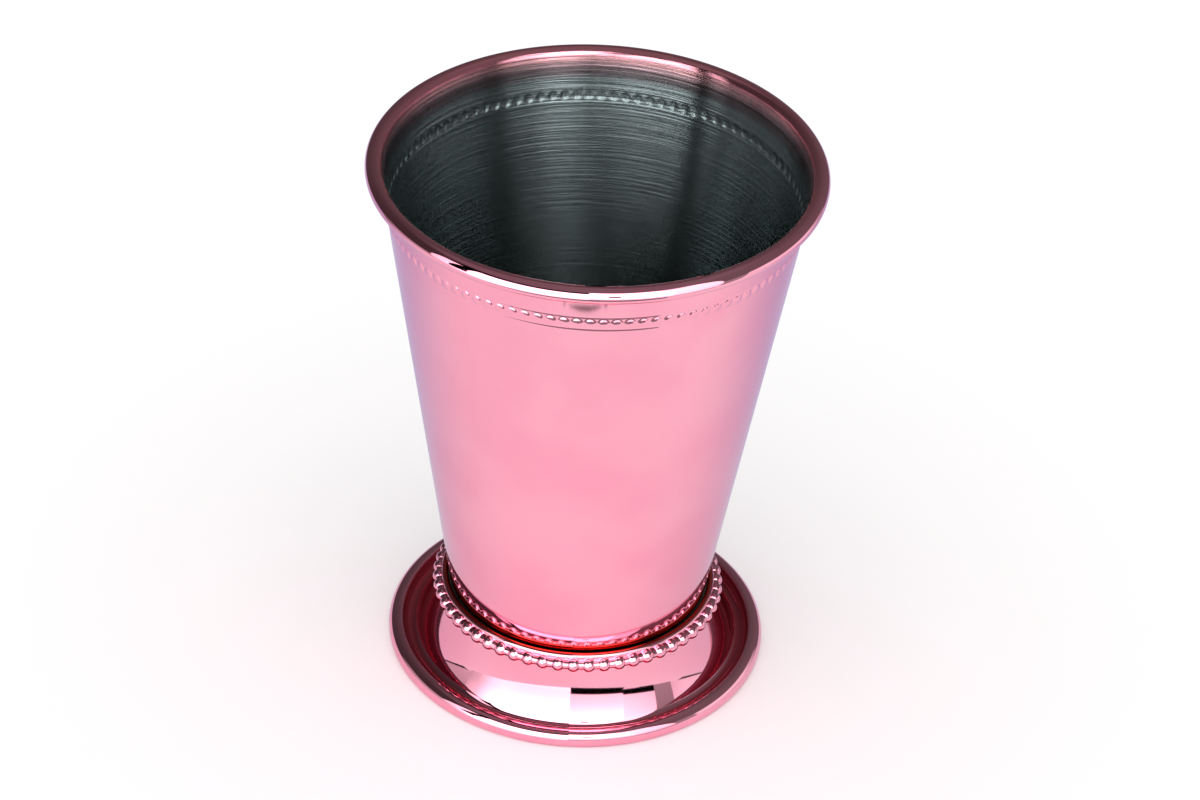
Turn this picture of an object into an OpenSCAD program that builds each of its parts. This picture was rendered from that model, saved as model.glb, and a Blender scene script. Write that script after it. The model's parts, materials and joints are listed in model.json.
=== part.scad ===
/* [Cup] */
// Overall height, from the table to the top of the rolled lip
cup_h = 114; // [90:1:140]
// Diameter over the rolled lip
lip_d = 89.2; // [80:0.2:100]
// Thickness of the drawn sheet that the cup is made of
cup_sheet = 0.6; // [0.5:0.05:0.8]
// Lean of the wall away from upright, in degrees
wall_taper = 9.05; // [7:0.05:11]
// Diameter of the rolled bead along the lip
lip_bead_d = 3.4; // [2.8:0.1:4]
// Angle at which the rolled edge stops short of the wall, in degrees
lip_curl_end = -130; // [-135:1:-100]
// Height of the underside of the cup's floor
floor_z = 13; // [12:0.1:14]
// Outer radius of the corner between wall and floor
cup_corner_r = 2.5; // [2:0.1:3.5]

/* [Embossed band] */
// Height of the middle of the dotted band
band_z = 104.2; // [90:0.1:106]
// Number of raised dots round the wall
dot_count = 102; // [40:2:110]
// Diameter of one dot where it leaves the wall
dot_d = 2; // [1.4:0.1:2.2]
// How far a dot stands out from the wall
dot_rise = 0.28; // [0.15:0.01:0.35]
// Distance between the two fine lines that edge the band
line_gap = 2.9; // [2.6:0.1:4]
// Width of one fine line
line_w = 0.3; // [0.2:0.05:0.4]
// Depth of one fine line
line_depth = 0.08; // [0.05:0.01:0.15]

/* [Foot] */
// Diameter over the foot's rolled edge
foot_d = 76.8; // [74:0.2:84]
// Height of the ledge round the bottom of the cup
foot_h = 15.1; // [14.8:0.1:16]
// Thickness of the pressed sheet that the foot is made of
foot_sheet = 0.5; // [0.4:0.05:0.55]
// Radius of the middle of the ledge
ledge_r = 27.1; // [27:0.05:27.6]
// Radius of the small bend between the ledge and the joint with the cup
ledge_lip_r = 0.6; // [0.56:0.02:0.7]
// Radius of the bend from the ledge down to the skirt
shoulder_r = 0.8; // [0.6:0.05:1]
// Lean of the skirt where it leaves the shoulder, in degrees
skirt_lean = 2.6; // [1.5:0.1:4]
// Radius of the hollow sweep of the skirt
cove_r = 25.6; // [24.5:0.1:27]
// Radius of the trough inside the edge
trough_r = 1.9; // [1.7:0.05:2]
// Gap between the table and the underside of the trough
trough_gap = 0.2; // [0.1:0.05:0.3]
// Height of the raised edge above the table
edge_h = 3.2; // [3.15:0.05:3.4]
// Radius of the edge's inner bend
edge_in_r = 0.6; // [0.56:0.02:0.8]
// Radius of the edge's outer bend
edge_out_r = 1.4; // [1:0.1:1.6]
// Radius of the bend from the edge's side to its flat underside
hem_r = 0.7; // [0.6:0.05:0.9]
// Radius at which the turned-in underside ends
hem_end_r = 36.8; // [36.7:0.05:37.2]
// Radius of the open hole in the middle of the seat
seat_hole_r = 17; // [12:0.5:22]

/* [Foot beads] */
// Number of beads round the shoulder
bead_count = 58; // [48:1:60]
// Radius of one bead
bead_r = 1.45; // [1.3:0.05:1.5]
// Radius of the rounded welt that joins the beads
welt_r = 0.95; // [0.8:0.05:1.1]
// Radius of the ring that the bead centres lie on
bead_ring_r = 28.2; // [28:0.05:28.3]
// Height of the bead centres
bead_z = 13; // [12.9:0.05:13.2]

/* [Joint] */
// Angle up the nest's bend at which the solder ends, where 0 is level with the bend's centre
solder_end = -15; // [-37.5:7.5:-7.5]
// Radius at which the solder ring starts under the cup's corner
solder_in_r = 24.6; // [24.4:0.05:25]

/* [Hidden] */
$fn = 180;
bead_fn = 48;
arc_step = 7.5;
cove_step = 3;
pink = [0.94, 0.60, 0.67];
pink_foot = [0.90, 0.54, 0.62];
solder_grey = [0.66, 0.64, 0.62];

// Points on an arc about c, both ends included
function arc(c, r, from, to, step = arc_step) =
    let (n = max(2, ceil(abs(to - from) / step)))
    [for (i = [0 : n]) let (a = from + (to - from) * i / n) c + r * [cos(a), sin(a)]];

function reversed(path) = [for (i = [len(path) - 1 : -1 : 0]) path[i]];

// The lip is the end of the wall rolled outwards. The wall's inner face runs into the bead's outer face.
lip_bead_r = lip_bead_d / 2;
lip_c = [lip_d / 2 - lip_bead_r, cup_h - lip_bead_r];
curl_start = 180 - wall_taper;
wall_out_lip_r = lip_c[0] - (lip_bead_r - cup_sheet) / cos(wall_taper);

// Radius of the wall's outer face at height z
function wall_r(z) = wall_out_lip_r + (z - lip_c[1]) * tan(wall_taper);

cup_corner_z = floor_z + cup_corner_r;
cup_corner_c = [wall_r(cup_corner_z) - cup_corner_r / cos(wall_taper), cup_corner_z];

// One face of the cup from the middle of its floor up the wall, at depth d inside the outer face
function cup_face(d) = concat(
    [[0, floor_z + d]],
    arc(cup_corner_c, cup_corner_r - d, -90, -wall_taper)
);

module cup_section() {
    polygon(concat(
        cup_face(0),
        arc(lip_c, lip_bead_r - cup_sheet, curl_start, lip_curl_end),
        arc(lip_c, lip_bead_r, lip_curl_end, curl_start),
        reversed(cup_face(cup_sheet))
    ));
}

// A dot is a cap of a sphere, so its centre lies behind the wall
dot_sphere_r = (pow(dot_d / 2, 2) + pow(dot_rise, 2)) / (2 * dot_rise);
dot_centre_back = dot_sphere_r - dot_rise;
band_half = dot_d;

module dots(r) {
    for (i = [0 : dot_count - 1])
        rotate([0, 0, 360 * (i + 0.5) / dot_count])
            translate([wall_r(band_z) - dot_centre_back * cos(wall_taper), 0,
                       band_z + dot_centre_back * sin(wall_taper)])
                rotate([0, 90 + wall_taper, 0])
                    sphere(r = r, $fn = bead_fn);
}

// The zone outside the middle of the sheet, where only the dots' caps remain
module band_zone() {
    low = band_z - band_half;
    high = band_z + band_half;
    half_sheet = cup_sheet / 2;
    rotate_extrude()
        polygon([
            [wall_r(low) - half_sheet, low],
            [wall_r(low) + half_sheet * 2, low],
            [wall_r(high) + half_sheet * 2, high],
            [wall_r(high) - half_sheet, high]
        ]);
}

// A fine line pressed into the outside of the wall at height z
module fine_line(z) {
    rotate_extrude()
        polygon([
            [wall_r(z - line_w / 2) + line_depth, z - line_w / 2 - line_depth],
            [wall_r(z + line_w / 2) + line_depth, z + line_w / 2 + line_depth],
            [wall_r(z) - line_depth, z]
        ]);
}

// The same line on the inside, where the pressed sheet stands out as a ridge
module line_ridge(z) {
    inside = cup_sheet / cos(wall_taper);
    rotate_extrude()
        polygon([
            [wall_r(z - line_w / 2) - inside + line_depth, z - line_w / 2],
            [wall_r(z + line_w / 2) - inside + line_depth, z + line_w / 2],
            [wall_r(z + line_w / 2) - inside, z + line_w / 2],
            [wall_r(z) - inside - line_depth, z],
            [wall_r(z - line_w / 2) - inside, z - line_w / 2]
        ]);
}

module cup_body() {
    color(pink)
        difference() {
            union() {
                rotate_extrude()
                    cup_section();
                intersection() {
                    dots(dot_sphere_r);
                    band_zone();
                }
                line_ridge(band_z - line_gap / 2);
                line_ridge(band_z + line_gap / 2);
            }
            dots(dot_sphere_r - cup_sheet);
            fine_line(band_z - line_gap / 2);
            fine_line(band_z + line_gap / 2);
        }
}

// The foot is one sheet. Each bend has its centre here, and the seat, skirt and edge run between them.
shoulder_c = [ledge_r, foot_h - shoulder_r];
ledge_lip_c = [ledge_r, foot_h - ledge_lip_r];
nest_r = ledge_lip_c[1] - floor_z;
nest_c = [ledge_r - ledge_lip_r - nest_r, ledge_lip_c[1]];
cove_c = shoulder_c + (cove_r + shoulder_r) * [cos(skirt_lean), sin(skirt_lean)];
trough_z = trough_gap + foot_sheet + trough_r;
trough_reach = sqrt(pow(cove_r - trough_r, 2) - pow(cove_c[1] - trough_z, 2));
trough_c = [cove_c[0] - trough_reach, trough_z];
trough_turn = atan2(cove_c[1] - trough_z, trough_reach);
edge_in_c = [trough_c[0] + trough_r + edge_in_r, edge_h - edge_in_r];
edge_out_c = [foot_d / 2 - edge_out_r, edge_h - edge_out_r];
hem_c = [foot_d / 2 - hem_r, hem_r];

// One face of the foot's sheet from its hole out to the end of the hem, at depth d under the top face
function foot_face(d) = concat(
    [[seat_hole_r, floor_z - d]],
    arc(nest_c, nest_r + d, -90, 0),
    arc(ledge_lip_c, ledge_lip_r - d, 180, 90),
    arc(shoulder_c, shoulder_r - d, 90, skirt_lean),
    arc(cove_c, cove_r + d, 180 + skirt_lean, 180 + trough_turn, cove_step),
    arc(trough_c, trough_r + d, 180 + trough_turn, 360),
    arc(edge_in_c, edge_in_r - d, 180, 90),
    arc(edge_out_c, edge_out_r - d, 90, 0),
    arc(hem_c, hem_r - d, 0, -90),
    [[hem_end_r, d]]
);

module foot_section() {
    polygon(concat(foot_face(0), reversed(foot_face(foot_sheet))));
}

module beads(r) {
    for (i = [0 : bead_count - 1])
        rotate([0, 0, 360 * (i + 0.5) / bead_count])
            translate([bead_ring_r, 0, bead_z])
                sphere(r = r, $fn = bead_fn);
}

// The rounded welt that runs through the beads
module welt(r) {
    rotate_extrude()
        translate([bead_ring_r, bead_z])
            circle(r = r, $fn = bead_fn);
}

// The groove that pressing the welt leaves in the back of the sheet
module groove(r) {
    welt(r);
    rotate_extrude()
        translate([ledge_r, bead_z - r])
            square([bead_ring_r - ledge_r, 2 * r]);
}

// Radius inside the skirt's sheet from which the beads and the welt stand out
bead_back_r = shoulder_c[0] + shoulder_r - foot_sheet / 3;

module foot() {
    color(pink_foot)
        difference() {
            union() {
                rotate_extrude()
                    foot_section();
                difference() {
                    union() {
                        beads(bead_r);
                        welt(welt_r);
                    }
                    cylinder(r = bead_back_r, h = foot_h);
                }
            }
            beads(bead_r - foot_sheet);
            groove(welt_r - foot_sheet);
        }
}

// Solder fills the gap between the cup's corner and the foot's nest, up to just under the ledge
module solder_ring() {
    nest = arc(nest_c, nest_r, -90, solder_end);
    top_z = nest[len(nest) - 1][1];
    color(solder_grey)
        rotate_extrude()
            difference() {
                polygon(concat([[solder_in_r, floor_z]], nest, [[solder_in_r, top_z]]));
                polygon(concat(cup_face(0), [[0, cup_corner_z]]));
            }
}

cup_body();
foot();
solder_ring();
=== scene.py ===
import json
import math

import bmesh
import bpy
from mathutils import Matrix, Vector

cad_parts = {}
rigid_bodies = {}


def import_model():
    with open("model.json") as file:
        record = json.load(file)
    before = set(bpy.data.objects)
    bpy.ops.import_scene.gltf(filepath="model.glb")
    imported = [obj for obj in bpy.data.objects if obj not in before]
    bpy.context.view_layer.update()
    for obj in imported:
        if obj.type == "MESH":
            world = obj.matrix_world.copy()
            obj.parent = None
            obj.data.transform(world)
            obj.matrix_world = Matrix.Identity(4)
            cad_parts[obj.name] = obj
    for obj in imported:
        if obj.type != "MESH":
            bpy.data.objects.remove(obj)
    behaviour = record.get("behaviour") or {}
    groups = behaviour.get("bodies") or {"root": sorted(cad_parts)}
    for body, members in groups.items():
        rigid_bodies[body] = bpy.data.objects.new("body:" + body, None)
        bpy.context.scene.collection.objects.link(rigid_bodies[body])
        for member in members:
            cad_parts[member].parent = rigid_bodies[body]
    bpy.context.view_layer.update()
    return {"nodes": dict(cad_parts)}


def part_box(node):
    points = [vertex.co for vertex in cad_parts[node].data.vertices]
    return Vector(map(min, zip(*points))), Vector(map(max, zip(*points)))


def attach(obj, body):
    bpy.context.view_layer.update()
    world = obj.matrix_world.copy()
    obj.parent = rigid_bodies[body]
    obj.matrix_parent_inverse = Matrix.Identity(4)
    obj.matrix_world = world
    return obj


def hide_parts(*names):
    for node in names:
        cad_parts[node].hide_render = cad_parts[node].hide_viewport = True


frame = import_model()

mm = 0.001
cupLow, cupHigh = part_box("cup_body")
footLow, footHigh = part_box("foot")
print("frame loaded:", ", ".join(sorted(frame["nodes"])))

scene = bpy.context.scene
scene.view_settings.view_transform = "Standard"


# Camera: the photo was taken from above the front, leaning a little to one side
cameraSetup = {
    "lens": 129.55,
    "sensor": 36.0,
    "distance": 0.86005,
    "elevation": 35.80,
    "roll": 2.83,
    "aim": (0, 0, 0.05452),
    "aimPixel": (585.76, 413.59),
    "imageSize": (1200, 800),
}


def makeCamera(setup):
    width, height = setup["imageSize"]
    focal = setup["lens"] / setup["sensor"] * width
    toRight = (setup["aimPixel"][0] - width / 2) / focal
    toTop = (height / 2 - setup["aimPixel"][1]) / focal
    yaw = math.atan(toRight)
    pitch = math.atan2(toTop, math.hypot(1, toRight))
    elevation = math.radians(setup["elevation"])
    turn = Matrix.Rotation(math.radians(90) - elevation, 4, "X")
    turn = turn @ Matrix.Rotation(math.radians(setup["roll"]), 4, "Z")
    turn = turn @ Matrix.Rotation(-pitch, 4, "X") @ Matrix.Rotation(yaw, 4, "Y")
    back = Vector((0, -math.cos(elevation), math.sin(elevation)))
    place = Vector(setup["aim"]) + setup["distance"] * back
    bpy.ops.object.camera_add()
    camera = bpy.context.object
    camera.matrix_world = Matrix.Translation(place) @ turn
    camera.data.lens = setup["lens"]
    camera.data.sensor_width = setup["sensor"]
    camera.data.clip_start = 0.01
    scene.camera = camera


makeCamera(cameraSetup)
print("camera placed")


# Drawing a section with one point as the pen, in the XZ plane, with sizes in mm
def startSection(name, x, z):
    bpy.ops.object.select_all(action="DESELECT")
    bpy.ops.mesh.primitive_plane_add(size=mm)
    obj = bpy.context.object
    obj.name = name
    obj.data.name = name
    bpy.ops.object.mode_set(mode="EDIT")
    bpy.ops.mesh.select_mode(type="VERT")
    bpy.ops.mesh.select_all(action="SELECT")
    bpy.ops.mesh.merge(type="CENTER")
    bpy.ops.transform.translate(value=(x * mm, 0, z * mm))
    return obj


def penPlace():
    shape = bmesh.from_edit_mesh(bpy.context.object.data)
    return next(v.co.copy() for v in shape.verts if v.select)


def lineTo(x, z, steps=1):
    step = (Vector((x * mm, 0, z * mm)) - penPlace()) / steps
    for i in range(steps):
        bpy.ops.mesh.extrude_region_move(TRANSFORM_OT_translate={"value": step})


# A straight run with a ring close to each end, which keeps the bends beside it from leaning its shading
def heldLineTo(x, z, hold=0.25):
    start = penPlace() / mm
    end = Vector((x, 0, z))
    inset = (end - start).normalized() * hold
    for point in (start + inset, end - inset, end):
        lineTo(point.x, point.z)


def bendRound(centre, degrees, steps):
    bpy.ops.mesh.spin(
        steps=steps,
        angle=math.radians(degrees),
        center=(centre[0] * mm, 0, centre[1] * mm),
        axis=(0, 1, 0),
    )


def lathe(columns):
    bpy.ops.mesh.select_all(action="SELECT")
    bpy.ops.mesh.spin(steps=columns, angle=2 * math.pi, center=(0, 0, 0), axis=(0, 0, 1))
    bpy.ops.mesh.select_all(action="SELECT")
    bpy.ops.mesh.remove_doubles(threshold=0.001 * mm)
    bpy.ops.object.mode_set(mode="OBJECT")


def onCircle(centre, radius, degrees):
    turn = math.radians(degrees)
    return centre[0] + radius * math.cos(turn), centre[1] + radius * math.sin(turn)


def joinAll(pieces):
    bpy.ops.object.select_all(action="DESELECT")
    for piece in pieces:
        piece.select_set(True)
    bpy.context.view_layer.objects.active = pieces[0]
    bpy.ops.object.join()
    return pieces[0]


def pick(obj, kind, test):
    bpy.ops.mesh.select_mode(type=kind)
    bpy.ops.mesh.select_all(action="DESELECT")
    shape = bmesh.from_edit_mesh(obj.data)
    parts = {"VERT": shape.verts, "EDGE": shape.edges, "FACE": shape.faces}[kind]
    for part in parts:
        part.select = test(part)
    shape.select_flush_mode()
    bmesh.update_edit_mesh(obj.data)


# Closes the gap between two rings that lie at the given heights in mm
def bridgeRings(obj, lowZ, highZ):
    def isRing(edge):
        heights = [v.co.z / mm for v in edge.verts]
        near = [min(abs(z - lowZ), abs(z - highZ)) < 0.01 for z in heights]
        return edge.is_boundary and all(near)

    pick(obj, "EDGE", isRing)
    bpy.ops.mesh.bridge_edge_loops()


# Turns the faces the same way, with the floor or seat facing as told
def faceOutwards(obj, isProbe, wanted):
    bpy.ops.mesh.select_all(action="SELECT")
    bpy.ops.mesh.normals_make_consistent(inside=False)
    shape = bmesh.from_edit_mesh(obj.data)
    probe = next(f for f in shape.faces if isProbe(f))
    if probe.normal.dot(wanted) < 0:
        bpy.ops.mesh.flip_normals()


def applyAll(obj):
    bpy.ops.object.select_all(action="DESELECT")
    obj.select_set(True)
    bpy.context.view_layer.objects.active = obj
    for modifier in list(obj.modifiers):
        bpy.ops.object.modifier_apply(modifier=modifier.name)


def giveSheet(obj, thickness):
    sheet = obj.modifiers.new("sheet", "SOLIDIFY")
    sheet.thickness = thickness * mm
    sheet.offset = -1
    sheet.use_even_offset = True
    applyAll(obj)


def smooth(obj, degrees):
    bpy.ops.object.select_all(action="DESELECT")
    obj.select_set(True)
    bpy.context.view_layer.objects.active = obj
    bpy.ops.object.shade_smooth_by_angle(angle=math.radians(degrees))


# Cup body: drawn sheet with a rolled lip and a band of embossed dots between two pressed lines
cupBody = {
    "height": cupHigh.z / mm,
    "lipRadius": cupHigh.x / mm,
    "floorZ": cupLow.z / mm,
    "sheet": 0.6,
    "taper": 9.05,
    "cornerRadius": 2.5,
    "cornerSteps": 10,
    "beadRadius": 1.7,
    "curlEnd": -130,
    "curlSteps": 48,
    "bandZ": 104.2,
    "lineGap": 2.9,
    "lineWidth": 0.3,
    "lineDepth": 0.05,
    "dots": 102,
    "dotRise": 0.2,
    "dotRadius": 1.0,
    "dotColumns": 12,
    "wallColumns": 3,
    "bandRows": 14,
}


def makeCupBody(cup):
    insideBead = cup["beadRadius"] - cup["sheet"]
    lip = (cup["lipRadius"] - cup["beadRadius"], cup["height"] - cup["beadRadius"])
    slope = math.tan(math.radians(cup["taper"]))
    wallAtLip = lip[0] - insideBead / math.cos(math.radians(cup["taper"]))

    def wallRadius(z):
        return wallAtLip + (z - lip[1]) * slope

    cornerZ = cup["floorZ"] + cup["cornerRadius"]
    cornerBack = cup["cornerRadius"] / math.cos(math.radians(cup["taper"]))
    corner = (wallRadius(cornerZ) - cornerBack, cornerZ)
    lowLine = cup["bandZ"] - cup["lineGap"] / 2
    highLine = cup["bandZ"] + cup["lineGap"] / 2
    halfLine = cup["lineWidth"] / 2
    bandLow = lowLine + halfLine
    bandHigh = highLine - halfLine
    wallColumns = cup["dots"] * cup["wallColumns"]

    lower = startSection("cup_body_shell", 0, cup["floorZ"])
    lineTo(corner[0], cup["floorZ"], steps=3)
    bendRound(corner, 90 - cup["taper"], cup["cornerSteps"])
    heldLineTo(wallRadius(lowLine - halfLine), lowLine - halfLine)
    lineTo(wallRadius(lowLine) - cup["lineDepth"], lowLine)
    lathe(wallColumns)

    band = startSection("band", wallRadius(bandLow), bandLow)
    lineTo(wallRadius(bandHigh), bandHigh, steps=cup["bandRows"])
    lathe(cup["dots"] * cup["dotColumns"])

    upper = startSection("lip", wallRadius(highLine) - cup["lineDepth"], highLine)
    lineTo(wallRadius(highLine + halfLine), highLine + halfLine)
    heldLineTo(*onCircle(lip, insideBead, 180 - cup["taper"]))
    bendRound(lip, cup["curlEnd"] - 180 + cup["taper"], cup["curlSteps"])
    lathe(wallColumns)

    body = joinAll([lower, band, upper])
    bpy.ops.object.mode_set(mode="EDIT")
    bridgeRings(body, lowLine, bandLow)
    bridgeRings(body, bandHigh, highLine)
    faceOutwards(body, lambda f: f.calc_center_median().z / mm < cup["floorZ"] + 0.01, Vector((0, 0, -1)))

    # Each dot is pushed out at its middle, and the sheet round it follows
    def isDotMiddle(vertex):
        turn = math.atan2(vertex.co.y, vertex.co.x) / (2 * math.pi) * cup["dots"]
        return abs(vertex.co.z / mm - cup["bandZ"]) < 0.01 and abs(turn % 1 - 0.5) < 0.01

    pick(body, "VERT", isDotMiddle)
    bpy.ops.transform.shrink_fatten(
        value=cup["dotRise"] * mm,
        use_proportional_edit=True,
        use_proportional_connected=True,
        proportional_edit_falloff="SPHERE",
        proportional_size=cup["dotRadius"] * mm,
    )
    bpy.ops.object.mode_set(mode="OBJECT")
    giveSheet(body, cup["sheet"])
    smooth(body, 50)
    return body, lip


cupShell, lipCentre = makeCupBody(cupBody)
print("cup body:", len(cupShell.data.polygons), "faces")


# Foot: one pressed sheet, seen from the hole in its seat out to the edge that it stands on
footPlan = {
    "radius": footHigh.x / mm,
    "height": footHigh.z / mm,
    "seatZ": cupLow.z / mm,
    "sheet": 0.5,
    "holeRadius": 17,
    "ledgeRadius": 27.1,
    "ledgeLip": 0.6,
    "shoulder": 0.8,
    "skirtLean": 2.6,
    "cove": 25.6,
    "trough": 1.9,
    "troughGap": 0.2,
    "edgeHeight": 3.2,
    "edgeInner": 0.6,
    "edgeOuter": 2.0,
    "hem": 0.7,
    "hemEnd": 36.8,
    "columns": 290,
    "beads": 58,
    "beadRadius": 1.45,
    "beadRing": 28.2,
    "beadZ": 13.0,
    "beadBack": 27.73,
    "beadSegments": 22,
    "beadRings": 14,
    "weltRadius": 0.95,
    "weltSteps": 14,
}


def drawFootSection(foot):
    ledge = foot["ledgeRadius"]
    ledgeLip = (ledge, foot["height"] - foot["ledgeLip"])
    nestRadius = ledgeLip[1] - foot["seatZ"]
    nest = (ledge - foot["ledgeLip"] - nestRadius, ledgeLip[1])
    shoulder = (ledge, foot["height"] - foot["shoulder"])
    cove = onCircle(shoulder, foot["cove"] + foot["shoulder"], foot["skirtLean"])
    troughZ = foot["troughGap"] + foot["sheet"] + foot["trough"]
    reach = math.sqrt((foot["cove"] - foot["trough"]) ** 2 - (cove[1] - troughZ) ** 2)
    trough = (cove[0] - reach, troughZ)
    troughTurn = math.degrees(math.atan2(cove[1] - troughZ, reach))
    inner = (trough[0] + foot["trough"] + foot["edgeInner"], foot["edgeHeight"] - foot["edgeInner"])
    outer = (foot["radius"] - foot["edgeOuter"], foot["edgeHeight"] - foot["edgeOuter"])
    hem = (foot["radius"] - foot["hem"], foot["hem"])

    shell = startSection("foot_shell", foot["holeRadius"], foot["seatZ"])
    heldLineTo(nest[0], foot["seatZ"])
    bendRound(nest, 90, 10)
    bendRound(ledgeLip, -90, 10)
    bendRound(shoulder, foot["skirtLean"] - 90, 12)
    bendRound(cove, troughTurn - foot["skirtLean"], 20)
    bendRound(trough, 180 - troughTurn, 24)
    bendRound(inner, -90, 10)
    lineTo(outer[0], foot["edgeHeight"])
    bendRound(outer, -90, 14)
    lineTo(foot["radius"], foot["hem"])
    bendRound(hem, -90, 10)
    lineTo(foot["hemEnd"], 0)
    lathe(foot["columns"])
    return shell


# One bead is a ball cut off inside the sheet. It is copied round the shoulder.
def makeBeads(foot, name, radius, isCut):
    bpy.ops.object.select_all(action="DESELECT")
    middle = Vector((foot["beadRing"] * mm, 0, foot["beadZ"] * mm))
    bpy.ops.mesh.primitive_uv_sphere_add(
        segments=foot["beadSegments"], ring_count=foot["beadRings"], radius=radius * mm,
        rotation=(0, math.radians(90), 0),
    )
    bead = bpy.context.object
    bead.name = name
    bpy.ops.object.transform_apply(location=False, rotation=True, scale=False)
    bpy.ops.object.mode_set(mode="EDIT")
    bpy.ops.mesh.select_all(action="SELECT")
    bpy.ops.transform.translate(value=middle)
    if isCut:
        bpy.ops.mesh.bisect(
            plane_co=(foot["beadBack"] * mm, 0, 0), plane_no=(1, 0, 0),
            use_fill=True, clear_inner=True, threshold=0.001 * mm,
        )
    bpy.ops.object.mode_set(mode="OBJECT")
    beads = [bead]
    for i in range(1, foot["beads"]):
        copy = bead.copy()
        copy.data = bead.data.copy()
        copy.data.transform(Matrix.Rotation(2 * math.pi * i / foot["beads"], 4, "Z"))
        scene.collection.objects.link(copy)
        beads.append(copy)
    joined = joinAll(beads)
    joined.data.transform(Matrix.Rotation(math.pi / foot["beads"], 4, "Z"))
    return joined


# The rounded welt that joins the beads, from the given radius outwards
def makeWelt(foot, name, radius, start):
    centre = (foot["beadRing"], foot["beadZ"])
    welt = startSection(name, start, centre[1] - radius)
    lineTo(centre[0], centre[1] - radius)
    bendRound(centre, 180, foot["weltSteps"])
    lineTo(start, centre[1] + radius)
    lineTo(start, centre[1] - radius)
    lathe(foot["columns"])
    bpy.ops.object.mode_set(mode="EDIT")
    bpy.ops.mesh.select_all(action="SELECT")
    bpy.ops.mesh.normals_make_consistent(inside=False)
    bpy.ops.object.mode_set(mode="OBJECT")
    return welt


def combine(obj, tool, operation):
    cut = obj.modifiers.new(operation, "BOOLEAN")
    cut.operation = operation
    cut.solver = "EXACT"
    cut.object = tool
    applyAll(obj)
    bpy.data.objects.remove(tool)


def makeFoot(foot):
    shell = drawFootSection(foot)
    bpy.ops.object.mode_set(mode="EDIT")
    seatEdge = (foot["holeRadius"] + 1) * mm
    faceOutwards(shell, lambda f: f.calc_center_median().xy.length < seatEdge, Vector((0, 0, 1)))
    bpy.ops.object.mode_set(mode="OBJECT")
    giveSheet(shell, foot["sheet"])
    combine(shell, makeWelt(foot, "welt", foot["weltRadius"], foot["beadBack"]), "UNION")
    combine(shell, makeBeads(foot, "beads", foot["beadRadius"], True), "UNION")
    combine(shell, makeWelt(foot, "groove", foot["weltRadius"] - foot["sheet"], foot["ledgeRadius"]), "DIFFERENCE")
    combine(shell, makeBeads(foot, "dimples", foot["beadRadius"] - foot["sheet"], False), "DIFFERENCE")
    smooth(shell, 40)
    return shell


footShell = makeFoot(footPlan)
print("foot:", len(footShell.data.polygons), "faces")


# Materials
def newMaterial(name):
    material = bpy.data.materials.new(name)
    material.use_nodes = True
    nodes = material.node_tree.nodes
    links = material.node_tree.links
    return material, nodes, links, nodes["Principled BSDF"]


plating = {
    "colour": (0.92, 0.37, 0.49, 1),
    "thinColour": (0.95, 0.42, 0.53, 1),
    "cloudScale": 42,
    "roughness": 0.035,
    # Painted bounced light: the orange tint round the joint between cup and foot
    "paintedBounceColour": (0.66, 0.10, 0.08, 1),
    "paintedBounceTopZ": 0.0188,
    "paintedBounceFullZ": 0.0155,
    "paintedBounceOutR": 0.0279,
    "paintedBounceFullR": 0.0273,
    # Painted shade: the near-black colour of the crevice between cup and ledge
    "paintedCreviceShadeColour": (0.03, 0.01, 0.01, 1),
    # Painted shade and bounced light: the dark red of the foot's trough
    "paintedTroughShadeColour": (0.66, 0.10, 0.14, 1),
}

steel = {
    # From the steel inside up to the pink plating at the rim; the dark band at 109 to 111 mm is painted shade, set
    # against the stronger light that reaches the wall near the rim
    "stops": [
        (0.1074, (0.27, 0.325, 0.33, 1)),
        (0.1090, (0.19, 0.17, 0.18, 1)),
        (0.1100, (0.18, 0.14, 0.15, 1)),
        (0.1111, (0.50, 0.33, 0.36, 1)),
        (0.1119, (0.88, 0.48, 0.51, 1)),
        (0.1132, (0.92, 0.37, 0.45, 1)),
    ],
    "roughness": 0.24,
    "anisotropy": 1.0,
    "streakScale": (30, 30, 1700),
    "streakDepth": 0.15,
    "brushedFromZ": 0.1128,
    "brushedToZ": 0.1139,
}

solderLook = {
    "colour": (0.40, 0.39, 0.37, 1),
    "dullColour": (0.24, 0.235, 0.23, 1),
    "roughness": 0.32,
    "grainScale": 900,
    "grainDepth": 0.03,
}


# 1 where the value is past the second stop, 0 before the first
def stepNode(nodes, links, source, first, last):
    step = nodes.new("ShaderNodeMapRange")
    step.interpolation_type = "SMOOTHSTEP"
    step.inputs["From Min"].default_value = first
    step.inputs["From Max"].default_value = last
    links.new(source, step.inputs["Value"])
    return step.outputs[0]


def mathNode(nodes, links, operation, first, second):
    result = nodes.new("ShaderNodeMath")
    result.operation = operation
    for socket, value in zip(result.inputs, (first, second)):
        if isinstance(value, (int, float)):
            socket.default_value = value
        else:
            links.new(value, socket)
    return result.outputs[0]


def mixNode(nodes, links, amount, first, second):
    mix = nodes.new("ShaderNodeMix")
    mix.data_type = "RGBA"
    links.new(amount, mix.inputs[0])
    for socket, value in zip((mix.inputs[6], mix.inputs[7]), (first, second)):
        if isinstance(value, tuple):
            socket.default_value = value
        else:
            links.new(value, socket)
    return mix.outputs[2]


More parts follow.
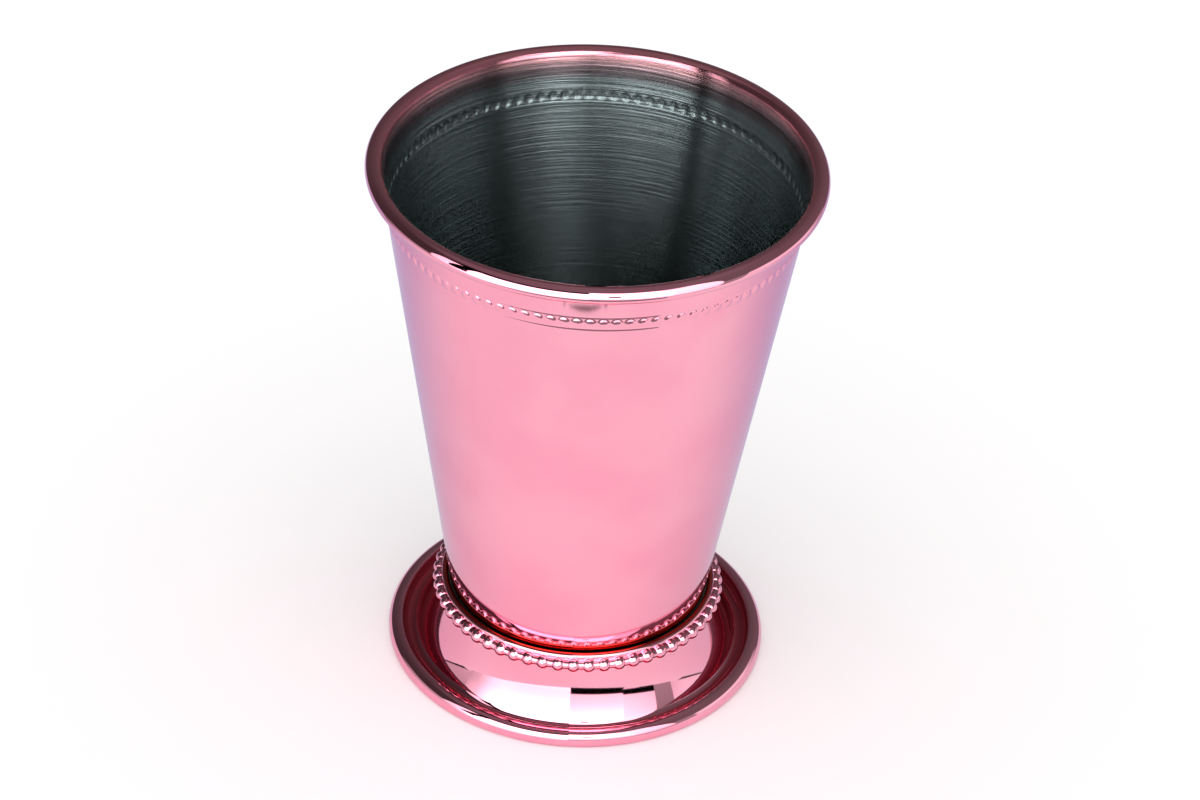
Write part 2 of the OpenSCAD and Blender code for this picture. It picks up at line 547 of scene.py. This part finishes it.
def makePlating(name, look):
    material, nodes, links, shader = newMaterial(name)
    shader.inputs["Metallic"].default_value = 1
    place = nodes.new("ShaderNodeTexCoord")
    parts = nodes.new("ShaderNodeSeparateXYZ")
    links.new(place.outputs["Object"], parts.inputs[0])
    flat = nodes.new("ShaderNodeVectorMath")
    flat.operation = "MULTIPLY"
    flat.inputs[1].default_value = (1, 1, 0)
    links.new(place.outputs["Object"], flat.inputs[0])
    length = nodes.new("ShaderNodeVectorMath")
    length.operation = "LENGTH"
    links.new(flat.outputs[0], length.inputs[0])
    radius = length.outputs["Value"]

    # Uneven thickness of the plating
    clouds = nodes.new("ShaderNodeTexNoise")
    clouds.inputs["Scale"].default_value = look["cloudScale"]
    clouds.inputs["Detail"].default_value = 2
    links.new(place.outputs["Object"], clouds.inputs["Vector"])
    cloud = stepNode(nodes, links, clouds.outputs[0], 0.35, 0.65)
    colour = mixNode(nodes, links, cloud, look["colour"], look["thinColour"])

    # Painted bounced light: the plating is tinted orange round the joint between cup and foot, for light reflected back
    # and forth between the pink surfaces there
    low = stepNode(nodes, links, parts.outputs["Z"], look["paintedBounceTopZ"], look["paintedBounceFullZ"])
    near = stepNode(nodes, links, radius, look["paintedBounceOutR"], look["paintedBounceFullR"])
    outside = stepNode(nodes, links, parts.outputs["Z"], 0.012, 0.0125)
    paintedBounce = mathNode(nodes, links, "MULTIPLY", low, near)
    paintedBounce = mathNode(nodes, links, "MULTIPLY", paintedBounce, outside)
    colour = mixNode(nodes, links, paintedBounce, colour, look["paintedBounceColour"])

    # Painted shade: the crevice between the cup and the foot's ledge is darkened nearly to black
    under = stepNode(nodes, links, parts.outputs["Z"], 0.0152, 0.0148)
    inner = stepNode(nodes, links, radius, 0.0270, 0.0267)
    paintedCreviceShade = mathNode(nodes, links, "MULTIPLY", under, inner)
    paintedCreviceShade = mathNode(nodes, links, "MULTIPLY", paintedCreviceShade, outside)
    colour = mixNode(nodes, links, paintedCreviceShade, colour, look["paintedCreviceShadeColour"])

    # Painted shade and bounced light: the bottom of the foot's trough is darkened and reddened
    deep = stepNode(nodes, links, parts.outputs["Z"], 0.0029, 0.0022)
    past = stepNode(nodes, links, radius, 0.0322, 0.0332)
    before = stepNode(nodes, links, radius, 0.0358, 0.0353)
    trough = mathNode(nodes, links, "MULTIPLY", deep, past)
    trough = mathNode(nodes, links, "MULTIPLY", trough, before)
    colour = mixNode(nodes, links, trough, colour, look["paintedTroughShadeColour"])
    links.new(colour, shader.inputs["Base Color"])
    rough = nodes.new("ShaderNodeMapRange")
    rough.inputs["To Min"].default_value = look["roughness"]
    rough.inputs["To Max"].default_value = look["roughness"] * 1.6
    links.new(clouds.outputs[0], rough.inputs["Value"])
    links.new(rough.outputs[0], shader.inputs["Roughness"])
    return material


def makeSteel(look):
    material, nodes, links, shader = newMaterial("brushedSteel")
    shader.inputs["Metallic"].default_value = 1
    shader.inputs["Anisotropic"].default_value = look["anisotropy"]
    shader.inputs["Anisotropic Rotation"].default_value = 0.25
    place = nodes.new("ShaderNodeTexCoord")
    parts = nodes.new("ShaderNodeSeparateXYZ")
    links.new(place.outputs["Object"], parts.inputs[0])
    # The colour turns from steel to pink plating up the rim; the dark band just below the rim is painted shade
    low, high = look["stops"][0][0], look["stops"][-1][0]
    upTheRim = nodes.new("ShaderNodeMapRange")
    upTheRim.inputs["From Min"].default_value = low
    upTheRim.inputs["From Max"].default_value = high
    links.new(parts.outputs["Z"], upTheRim.inputs["Value"])
    ramp = nodes.new("ShaderNodeValToRGB")
    ramp.color_ramp.interpolation = "EASE"
    links.new(upTheRim.outputs[0], ramp.inputs[0])
    while len(ramp.color_ramp.elements) < len(look["stops"]):
        ramp.color_ramp.elements.new(0.5)
    for element, (z, colour) in zip(ramp.color_ramp.elements, look["stops"]):
        element.position = (z - low) / (high - low)
        element.color = colour
    links.new(ramp.outputs[0], shader.inputs["Base Color"])
    rough = nodes.new("ShaderNodeMapRange")
    rough.inputs["From Min"].default_value = look["brushedFromZ"]
    rough.inputs["From Max"].default_value = look["brushedToZ"]
    rough.inputs["To Min"].default_value = look["roughness"]
    rough.inputs["To Max"].default_value = plating["roughness"]
    links.new(parts.outputs["Z"], rough.inputs["Value"])
    links.new(rough.outputs[0], shader.inputs["Roughness"])
    tangent = nodes.new("ShaderNodeTangent")
    tangent.direction_type = "RADIAL"
    tangent.axis = "Z"
    links.new(tangent.outputs[0], shader.inputs["Tangent"])

    # Brush marks that run round the cup
    stretch = nodes.new("ShaderNodeMapping")
    stretch.inputs["Scale"].default_value = look["streakScale"]
    links.new(place.outputs["Object"], stretch.inputs["Vector"])
    streaks = nodes.new("ShaderNodeTexNoise")
    streaks.inputs["Scale"].default_value = 1.0
    streaks.inputs["Detail"].default_value = 3
    streaks.inputs["Roughness"].default_value = 0.6
    links.new(stretch.outputs[0], streaks.inputs["Vector"])
    bump = nodes.new("ShaderNodeBump")
    bump.inputs["Distance"].default_value = look["streakDepth"] * mm
    links.new(streaks.outputs[0], bump.inputs["Height"])
    links.new(bump.outputs[0], shader.inputs["Normal"])
    return material


def makeSolder(look):
    material, nodes, links, shader = newMaterial("softSolder")
    shader.inputs["Metallic"].default_value = 1
    place = nodes.new("ShaderNodeTexCoord")
    grains = nodes.new("ShaderNodeTexNoise")
    grains.inputs["Scale"].default_value = look["grainScale"]
    grains.inputs["Detail"].default_value = 4
    links.new(place.outputs["Object"], grains.inputs["Vector"])
    patchy = stepNode(nodes, links, grains.outputs[0], 0.4, 0.65)
    links.new(mixNode(nodes, links, patchy, look["colour"], look["dullColour"]), shader.inputs["Base Color"])
    rough = nodes.new("ShaderNodeMapRange")
    rough.inputs["To Min"].default_value = look["roughness"]
    rough.inputs["To Max"].default_value = look["roughness"] + 0.25
    links.new(grains.outputs[0], rough.inputs["Value"])
    links.new(rough.outputs[0], shader.inputs["Roughness"])
    bump = nodes.new("ShaderNodeBump")
    bump.inputs["Distance"].default_value = look["grainDepth"] * mm
    links.new(grains.outputs[0], bump.inputs["Height"])
    links.new(bump.outputs[0], shader.inputs["Normal"])
    return material


pinkPlating = makePlating("pinkPlating", plating)
dullPlating = makePlating("dullPlating", {**plating, "roughness": 0.16})
brushedSteel = makeSteel(steel)
softSolder = makeSolder(solderLook)

cupShell.data.materials.append(pinkPlating)
cupShell.data.materials.append(brushedSteel)
for face in cupShell.data.polygons:
    middle = face.center
    inwards = face.normal.x * middle.x + face.normal.y * middle.y < 0
    isInside = inwards and middle.xy.length < lipCentre[0] * mm
    isFloor = face.normal.z > 0.5 and middle.z < 0.02
    face.material_index = 1 if isInside or isFloor else 0

# The foot's underside was plated but never polished
footShell.data.materials.append(pinkPlating)
footShell.data.materials.append(dullPlating)
for face in footShell.data.polygons:
    middle = face.center
    outwards = face.normal.xy.dot(middle.xy.normalized())
    isBead = middle.xy.length > 0.0276 and middle.z > 0.011
    isUnder = face.normal.z < -0.05 and outwards < 0.2 and not isBead
    face.material_index = 1 if isUnder else 0

solderNode = frame["nodes"]["solder_ring"]
solderNode.data.materials.clear()
solderNode.data.materials.append(softSolder)
print("materials made")


# Studio: a pale floor under white light, with cards that only the metal's reflections see
studio = {
    "floorSize": 6.0,
    "floorColour": (1.0, 1.0, 1.0, 1),
    "floorBehind": (0.56, 0.54, 0.74, 1),
    "worldStrength": 1.05,
    "tentRadius": 0.55,
    "tentHeight": 1.1,
    "tentLeft": (0.055, 0.05, 0.05, 1),
    "tentRight": (0.17, 0.16, 0.16, 1),
    "tentTop": (0.20, 0.185, 0.185, 1),
}

# Azimuth 0 is towards the camera and 90 towards +X. Heights and radii are in metres. "rise" gives the
# brightness at each height and "sweep" a factor at each azimuth.
cards = [
    {
        "name": "leftBox", "azimuth": (-72, -1), "radius": 0.22,
        "rise": [(0, 2.2), (0.02, 2.4), (0.06, 3.6), (0.10, 4.6), (0.23, 4.6), (0.26, 0.0), (0.32, 0.0), (0.36, 0.1)],
        "sweep": [(-72, 0.3), (-64, 0.42), (-54, 0.85), (-46, 1.0)],
    },
    {
        "name": "rightBox", "azimuth": (-1, 34), "radius": 0.22,
        "rise": [(0, 0.0), (0.011, 0.0), (0.012, 1.5), (0.04, 1.8), (0.10, 3.6), (0.30, 4.6), (0.40, 0.1)],
        "sweep": [(-1, 1.0), (34, 1.0)],
    },
    {
        "name": "rightBoxEnd", "azimuth": (34, 56), "radius": 0.22,
        "rise": [(0, 0.0), (0.016, 0.0), (0.017, 1.5), (0.10, 2.2), (0.30, 2.6), (0.40, 0.1)],
        "sweep": [(34, 1.0), (56, 0.8)],
    },
    {
        "name": "brownBand", "azimuth": (56, 69), "radius": 0.24,
        "rise": [(0, 0.42), (0.10, 0.34), (0.13, 0.06)],
        "sweep": [(56, 1.0), (69, 1.0)],
    },
    {
        "name": "sideFill", "azimuth": (69, 125), "radius": 0.30,
        "rise": [(0, 1.0), (0.06, 1.2), (0.10, 1.1), (0.13, 0.1)],
        "sweep": [(69, 0.9), (80, 1.05), (108, 0.9), (125, 0.3)],
    },
    {
        "name": "leftSide", "azimuth": (-108, -72), "radius": 0.30,
        "rise": [(0, 0.75), (0.07, 0.60), (0.11, 0.06)],
        "sweep": [(-108, 0.2), (-98, 0.8), (-72, 1.0)],
    },
    {
        "name": "leftPost", "azimuth": (-62, -53), "radius": 0.21,
        "rise": [(0.08, 0.0), (0.34, 0.0)],
        "sweep": [(-62, 1.0), (-53, 1.0)],
    },
    {
        "name": "middlePost", "azimuth": (7, 12), "radius": 0.21,
        "rise": [(0.118, 0.0), (0.165, 0.0)],
        "sweep": [(7, 1.0), (12, 1.0)],
    },
]

# The table past the white paper that the cup stands on. It is dark from above and a mirror at a low angle,
# where it shows what stands behind it. The paper's edge is one straight line in front.
# "steep" is None where the floor under the strip shows through from above.
strips = [
    {"name": "paperGap", "azimuth": (-14, 8), "radii": (0.1224, 0.1239), "facing": -3, "z": 1.0, "low": 0.0, "steep": 0.0},
    {"name": "leftApron", "azimuth": (-52, -1), "radii": (0.125, 0.2395), "facing": 5, "z": 1.2, "low": 2.4, "steep": 0.3},
    {"name": "rightApron", "azimuth": (-1, 34), "radii": (0.1246, 0.2395), "facing": 5, "z": 1.2, "low": 0.0, "steep": 0.3},
    {"name": "leftTable", "azimuth": (-52, -1), "radii": (0.24, 0.40), "facing": 5, "z": 1.2, "low": 2.4, "steep": 0.0},
    {"name": "leftSheen", "azimuth": (-75, -1), "radii": (0.117, 0.41), "facing": 5, "z": 1.0, "low": 2.4, "steep": None},
    {"name": "rightTable", "azimuth": (-1, 34), "radii": (0.24, 0.30), "facing": 5, "z": 1.2, "low": 0.0, "steep": 0.0},
    {"name": "rightSheen", "azimuth": (-1, 34), "radii": (0.114, 0.31), "facing": 5, "z": 1.0, "low": 0.0, "steep": None},
    {"name": "sideTable", "azimuth": (34, 46), "radii": (0.150, 0.22), "facing": 5, "z": 1.2, "low": 1.0, "steep": None},
    {"name": "backTable", "azimuth": (75, 285), "radii": (0.125, 0.54), "facing": None, "z": 1.2, "low": 0.02, "steep": None},
]


def onlyReflected(obj):
    obj.visible_camera = False
    obj.visible_diffuse = False
    obj.visible_shadow = False
    obj.visible_transmission = False


def glowMaterial(name, colour):
    material = bpy.data.materials.new(name)
    material.use_nodes = True
    nodes = material.node_tree.nodes
    nodes.remove(nodes["Principled BSDF"])
    glow = nodes.new("ShaderNodeEmission")
    glow.inputs["Color"].default_value = colour
    material.node_tree.links.new(glow.outputs[0], nodes["Material Output"].inputs["Surface"])
    return material, nodes, glow


# A curve from a value to a strength, through the given stops
def stopsNode(nodes, links, source, stops):
    low, high = stops[0][0], stops[-1][0]
    most = max(strength for place, strength in stops) or 1
    scale = nodes.new("ShaderNodeMapRange")
    scale.inputs["From Min"].default_value = low
    scale.inputs["From Max"].default_value = high
    links.new(source, scale.inputs["Value"])
    ramp = nodes.new("ShaderNodeValToRGB")
    links.new(scale.outputs[0], ramp.inputs[0])
    elements = ramp.color_ramp.elements
    while len(elements) < len(stops):
        elements.new(0.5)
    for element, (place, strength) in zip(elements, stops):
        element.position = (place - low) / (high - low)
        element.color = [strength / most] * 3 + [1]
    gain = nodes.new("ShaderNodeMath")
    gain.operation = "MULTIPLY"
    gain.inputs[1].default_value = most
    links.new(ramp.outputs[0], gain.inputs[0])
    return gain.outputs[0]


# Turns the drawn section from the first azimuth to the last
def spinSector(first, last):
    bpy.ops.mesh.select_all(action="SELECT")
    bpy.ops.mesh.spin(
        steps=48, angle=math.radians(first - last), center=(0, 0, 0), axis=(0, 0, 1)
    )
    bpy.ops.mesh.select_all(action="SELECT")
    bpy.ops.transform.rotate(
        value=-math.radians(first - 90), orient_axis="Z", center_override=(0, 0, 0)
    )
    bpy.ops.object.mode_set(mode="OBJECT")


def makeCard(card):
    first, last = card["azimuth"]
    radius = card["radius"] / mm
    low, high = card["rise"][0][0] / mm, card["rise"][-1][0] / mm
    obj = startSection(card["name"], radius, low)
    lineTo(radius, high, steps=2)
    spinSector(first, last)
    material, nodes, glow = glowMaterial(card["name"], (1, 1, 1, 1))
    links = material.node_tree.links
    place = nodes.new("ShaderNodeTexCoord")
    parts = nodes.new("ShaderNodeSeparateXYZ")
    links.new(place.outputs["Object"], parts.inputs[0])
    forward = nodes.new("ShaderNodeMath")
    forward.operation = "MULTIPLY"
    forward.inputs[1].default_value = -1
    links.new(parts.outputs["Y"], forward.inputs[0])
    azimuth = nodes.new("ShaderNodeMath")
    azimuth.operation = "ARCTAN2"
    links.new(parts.outputs["X"], azimuth.inputs[0])
    links.new(forward.outputs[0], azimuth.inputs[1])
    degrees = nodes.new("ShaderNodeMath")
    degrees.operation = "DEGREES"
    links.new(azimuth.outputs[0], degrees.inputs[0])
    strength = nodes.new("ShaderNodeMath")
    strength.operation = "MULTIPLY"
    links.new(stopsNode(nodes, links, parts.outputs["Z"], card["rise"]), strength.inputs[0])
    links.new(stopsNode(nodes, links, degrees.outputs[0], card["sweep"]), strength.inputs[1])
    links.new(strength.outputs[0], glow.inputs["Strength"])
    obj.data.materials.append(material)
    onlyReflected(obj)


def makeStrip(strip):
    first, last = strip["azimuth"]
    near, far = (radius / mm for radius in strip["radii"])
    obj = startSection(strip["name"], near, strip["z"])
    lineTo(far, strip["z"])
    spinSector(first, last)
    if strip["facing"] is not None:
        for vertex in obj.data.vertices:
            if abs(vertex.co.xy.length / mm - near) < 0.01:
                azimuth = math.atan2(vertex.co.x, -vertex.co.y)
                vertex.co.xy /= math.cos(azimuth - math.radians(strip["facing"]))
    material, nodes, glow = glowMaterial(strip["name"], (1, 1, 1, 1))
    links = material.node_tree.links
    place = nodes.new("ShaderNodeNewGeometry")
    parts = nodes.new("ShaderNodeSeparateXYZ")
    links.new(place.outputs["Incoming"], parts.inputs[0])
    strength = nodes.new("ShaderNodeMapRange")
    strength.inputs["From Min"].default_value = 0.12
    strength.inputs["From Max"].default_value = 0.25
    links.new(parts.outputs["Z"], strength.inputs["Value"])
    if strip["steep"] is None:
        glow.inputs["Strength"].default_value = strip["low"]
        clear = nodes.new("ShaderNodeBsdfTransparent")
        either = nodes.new("ShaderNodeMixShader")
        links.new(strength.outputs[0], either.inputs[0])
        links.new(glow.outputs[0], either.inputs[1])
        links.new(clear.outputs[0], either.inputs[2])
        links.new(either.outputs[0], nodes["Material Output"].inputs["Surface"])
    else:
        strength.inputs["To Min"].default_value = strip["low"]
        strength.inputs["To Max"].default_value = strip["steep"]
        links.new(strength.outputs[0], glow.inputs["Strength"])
    obj.data.materials.append(material)
    onlyReflected(obj)


# Slim black flags over the mouth, which part the light that reaches the steel inside
flags = [
    {"name": "wideFlag", "x": (-0.0010, 0.0022)},
    {"name": "slimFlag", "x": (0.0180, 0.0196)},
]


def makeFlag(flag):
    low, high = flag["x"]
    bpy.ops.object.select_all(action="DESELECT")
    bpy.ops.mesh.primitive_plane_add(
        size=1, location=((low + high) / 2, 0, 0.0725), rotation=(math.radians(90), 0, 0)
    )
    obj = bpy.context.object
    obj.name = flag["name"]
    obj.scale = (high - low, 0.105, 1)
    obj.data.materials.append(glowMaterial(flag["name"], (0, 0, 0, 1))[0])
    onlyReflected(obj)


def makeTent(plan):
    bpy.ops.object.select_all(action="DESELECT")
    bpy.ops.mesh.primitive_cylinder_add(
        vertices=96, radius=plan["tentRadius"], depth=plan["tentHeight"],
        location=(0, 0, plan["tentHeight"] / 2),
    )
    bpy.ops.object.transform_apply(location=True, rotation=False, scale=False)
    tent = bpy.context.object
    tent.name = "tent"
    bpy.ops.object.mode_set(mode="EDIT")
    pick(tent, "FACE", lambda f: f.normal.z < -0.5)
    bpy.ops.mesh.delete(type="FACE")
    bpy.ops.object.mode_set(mode="OBJECT")
    material, nodes, glow = glowMaterial("tent", plan["tentLeft"])
    links = material.node_tree.links
    place = nodes.new("ShaderNodeTexCoord")
    parts = nodes.new("ShaderNodeSeparateXYZ")
    links.new(place.outputs["Object"], parts.inputs[0])
    across = nodes.new("ShaderNodeMapRange")
    across.inputs["From Min"].default_value = -plan["tentRadius"]
    across.inputs["From Max"].default_value = plan["tentRadius"]
    links.new(parts.outputs["X"], across.inputs["Value"])
    colour = nodes.new("ShaderNodeMix")
    colour.data_type = "RGBA"
    colour.inputs[6].default_value = plan["tentLeft"]
    colour.inputs[7].default_value = plan["tentRight"]
    links.new(across.outputs[0], colour.inputs[0])
    upwards = nodes.new("ShaderNodeMapRange")
    upwards.interpolation_type = "SMOOTHSTEP"
    upwards.inputs["From Min"].default_value = 0.6
    upwards.inputs["From Max"].default_value = plan["tentHeight"]
    links.new(parts.outputs["Z"], upwards.inputs["Value"])
    withTop = nodes.new("ShaderNodeMix")
    withTop.data_type = "RGBA"
    withTop.inputs[7].default_value = plan["tentTop"]
    links.new(upwards.outputs[0], withTop.inputs[0])
    links.new(colour.outputs[2], withTop.inputs[6])
    links.new(withTop.outputs[2], glow.inputs["Color"])
    tent.data.materials.append(material)
    onlyReflected(tent)


# White to the eye. In the metal it turns blue grey behind the cup, as the far side of the table does.
def makeFloor(plan):
    bpy.ops.object.select_all(action="DESELECT")
    bpy.ops.mesh.primitive_plane_add(size=plan["floorSize"])
    floor = bpy.context.object
    floor.name = "floor"
    material, nodes, links, shader = newMaterial("paleFloor")
    shader.inputs["Roughness"].default_value = 0.9
    shader.inputs["Specular IOR Level"].default_value = 0
    place = nodes.new("ShaderNodeTexCoord")
    parts = nodes.new("ShaderNodeSeparateXYZ")
    links.new(place.outputs["Object"], parts.inputs[0])
    behind = nodes.new("ShaderNodeMapRange")
    behind.interpolation_type = "SMOOTHSTEP"
    behind.inputs["From Min"].default_value = -0.06
    behind.inputs["From Max"].default_value = 0.10
    links.new(parts.outputs["Y"], behind.inputs["Value"])
    path = nodes.new("ShaderNodeLightPath")
    mask = nodes.new("ShaderNodeMath")
    mask.operation = "MULTIPLY"
    links.new(behind.outputs[0], mask.inputs[0])
    links.new(path.outputs["Is Glossy Ray"], mask.inputs[1])
    colour = nodes.new("ShaderNodeMix")
    colour.data_type = "RGBA"
    colour.inputs[6].default_value = plan["floorColour"]
    colour.inputs[7].default_value = plan["floorBehind"]
    links.new(mask.outputs[0], colour.inputs[0])
    links.new(colour.outputs[2], shader.inputs["Base Color"])
    floor.data.materials.append(material)


def makeWorld(plan):
    world = bpy.data.worlds.new("studio")
    scene.world = world
    world.use_nodes = True
    backdrop = world.node_tree.nodes["Background"]
    backdrop.inputs["Color"].default_value = (1, 1, 1, 1)
    backdrop.inputs["Strength"].default_value = plan["worldStrength"]


makeFloor(studio)
makeTent(studio)
for strip in strips:
    makeStrip(strip)
for flag in flags:
    makeFlag(flag)
for card in cards:
    makeCard(card)
makeWorld(studio)
print("studio made")


# Each piece takes the place of its CAD node
for piece, node, slot in ((cupShell, "cup_body", "cup_plating"), (footShell, "foot", "foot_plating")):
    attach(piece, "root")
    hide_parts(node)
